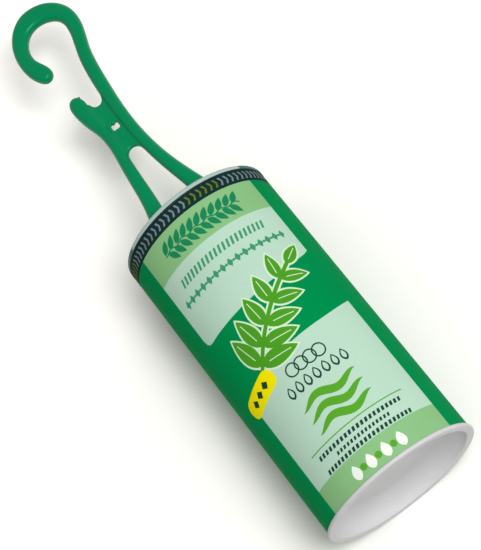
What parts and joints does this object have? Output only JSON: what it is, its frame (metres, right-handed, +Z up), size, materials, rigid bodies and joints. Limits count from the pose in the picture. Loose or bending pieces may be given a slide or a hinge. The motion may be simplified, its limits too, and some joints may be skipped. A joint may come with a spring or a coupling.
{
  "type": "lint roller",
  "caption": "Adhesive lint roller on a hook-ended forked handle, stored under a slide-off printed tubular cover with a dished base plug.",
  "frame": {"origin": "on the surface the part lies on, under the middle of its overall length", "axes": "+Z up from the surface it lies on, +X along the roll's axis from the cover's base toward the hanging hook, +Y toward the small side hook"},
  "size_m": [0.233, 0.0594, 0.0594],
  "materials": {
    "green_plastic": "gloss",
    "white_plug_plastic": "satin",
    "cover_plastic": "satin",
    "hub_plastic": "satin",
    "label_film": "coated",
    "core_board": "matte",
    "adhesive_paper": "satin"
  },
  "bodies": {
    "handle": {"hook_handle": "green_plastic", "end_flange": "green_plastic", "axle_spindle": "green_plastic"},
    "roller": {"roller_hub": "hub_plastic", "hub_end_cap": "hub_plastic", "paper_core": "core_board", "adhesive_roll": "adhesive_paper", "outer_sheet": "adhesive_paper"},
    "cover": {"cover_tube": "cover_plastic", "base_plug": "white_plug_plastic", "label_sleeve": "label_film"}
  },
  "joints": [
    {"name": "roller_spin", "type": "hinge", "parent": "handle", "child": "roller", "pos_m": [0, 0, 0.0297], "axis": [1, 0, 0], "continuous": true},
    {"name": "cover_slide", "type": "slide", "parent": "handle", "child": "cover", "axis": [-1, 0, 0], "range_m": [0, 0.125]}
  ]
}
